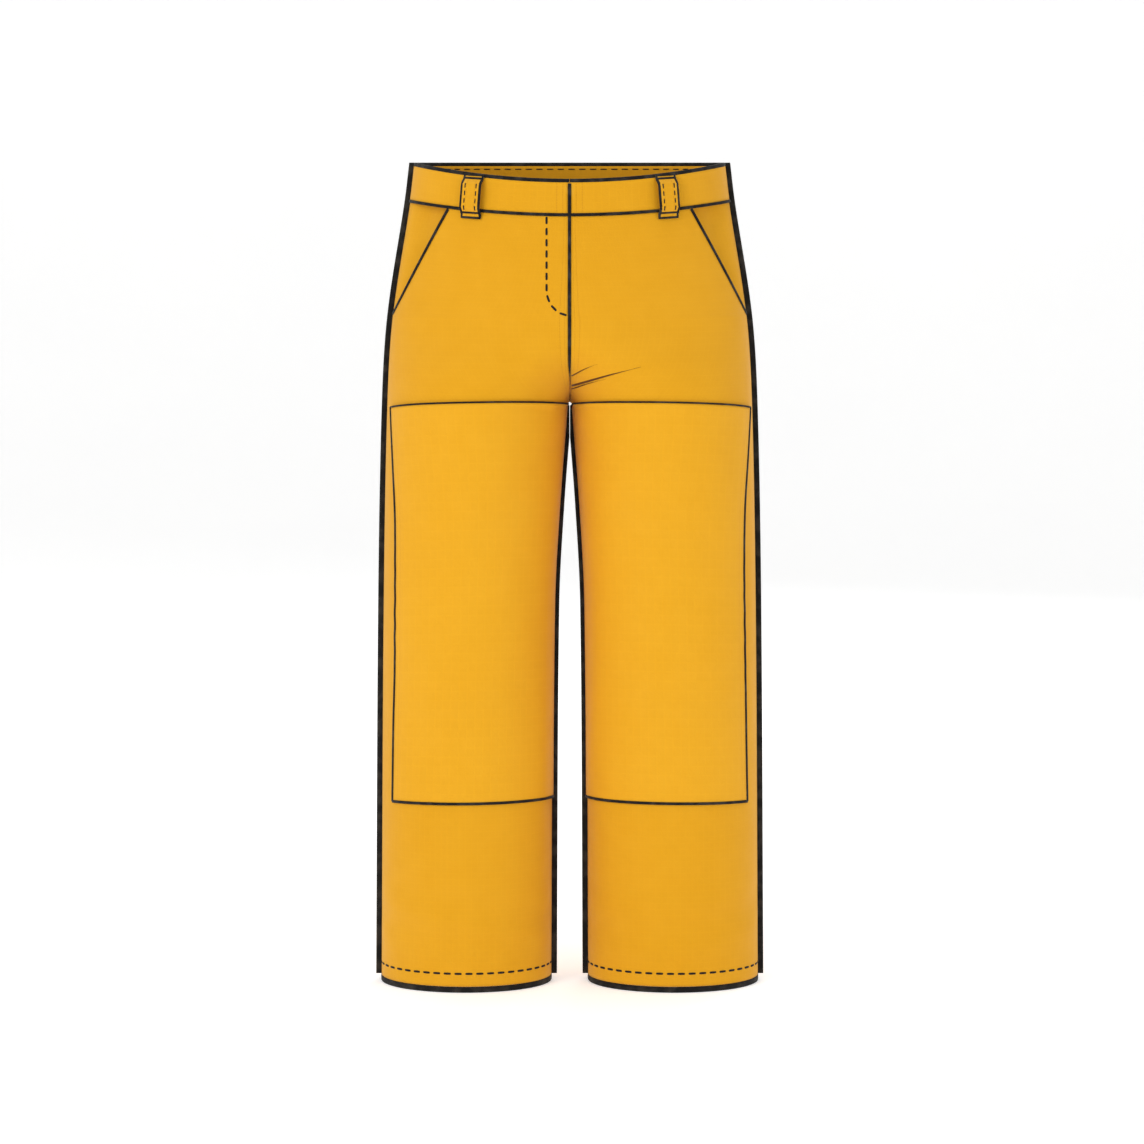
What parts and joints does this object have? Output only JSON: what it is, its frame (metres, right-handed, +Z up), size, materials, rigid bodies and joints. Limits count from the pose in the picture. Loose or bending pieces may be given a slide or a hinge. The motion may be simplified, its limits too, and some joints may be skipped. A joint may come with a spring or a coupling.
{
  "type": "bunker trousers",
  "caption": "Amber bunker trousers with slanted pockets, belt loops, a lapel fly, lighter leg patches and black bound seams, standing as if worn.",
  "frame": {"origin": "on the floor, under the middle of the object's box", "axes": "+Z up from the hems to the waist, -Y to the front, -X to the wearer's right"},
  "size_m": [0.4982, 0.253, 1.045],
  "materials": {
    "shell_fabric": "matte amber canvas twill",
    "patch_fabric": "lighter amber coated canvas",
    "seam_binding": "black woven binding and thread",
    "pocketing": "plain woven pocket cloth",
    "liner_quilt": "quilted thermal liner",
    "hook_and_loop": "black hook and loop tape",
    "stud_metal": "dull press stud"
  },
  "bodies": {
    "garment": {"back_panel_left": "shell_fabric", "back_panel_right": "shell_fabric", "belt_loop_back_centre": "shell_fabric", "belt_loop_back_left": "shell_fabric", "belt_loop_back_right": "shell_fabric", "belt_loop_front_left": "shell_fabric", "belt_loop_front_right": "shell_fabric", "fly_facing_fixed": "shell_fabric", "fly_shield": "shell_fabric", "front_panel_left": "shell_fabric", "front_panel_right": "shell_fabric", "hem_binding_left": "seam_binding", "hem_binding_right": "seam_binding", "hem_facing_left": "shell_fabric", "hem_facing_right": "shell_fabric", "hip_facing_left": "shell_fabric", "hip_facing_right": "shell_fabric", "inseam_left": "seam_binding", "inseam_right": "seam_binding", "leg_patch_left": "patch_fabric", "leg_patch_right": "patch_fabric", "liner_back_left": "liner_quilt", "liner_back_right": "liner_quilt", "liner_front_left": "liner_quilt", "liner_front_right": "liner_quilt", "loop_tape": "hook_and_loop", "pocket_bag_left": "pocketing", "pocket_bag_right": "pocketing", "pocket_binding_left": "seam_binding", "pocket_binding_right": "seam_binding", "side_seam_left": "seam_binding", "side_seam_right": "seam_binding", "snap_stud": "stud_metal", "snap_stud_post": "stud_metal", "waist_binding_back": "seam_binding", "waist_binding_left": "seam_binding", "waist_binding_right": "seam_binding", "waist_facing_back": "shell_fabric", "waist_facing_left": "shell_fabric", "waist_facing_right": "shell_fabric", "waistband_back": "shell_fabric", "waistband_left": "shell_fabric", "waistband_right": "shell_fabric"},
    "fly_flap": {"fly_flap_panel": "shell_fabric", "waistband_tab": "shell_fabric", "waist_binding_tab": "seam_binding", "fly_facing_flap": "shell_fabric", "hook_tape": "hook_and_loop", "snap_socket": "stud_metal"}
  },
  "joints": [
    {"name": "fly_open", "type": "hinge", "parent": "garment", "child": "fly_flap", "pos_m": [0, -0.1285, 0.854], "axis": [0.2535, -0.0701, -0.9648], "range_deg": [0, 110]}
  ]
}
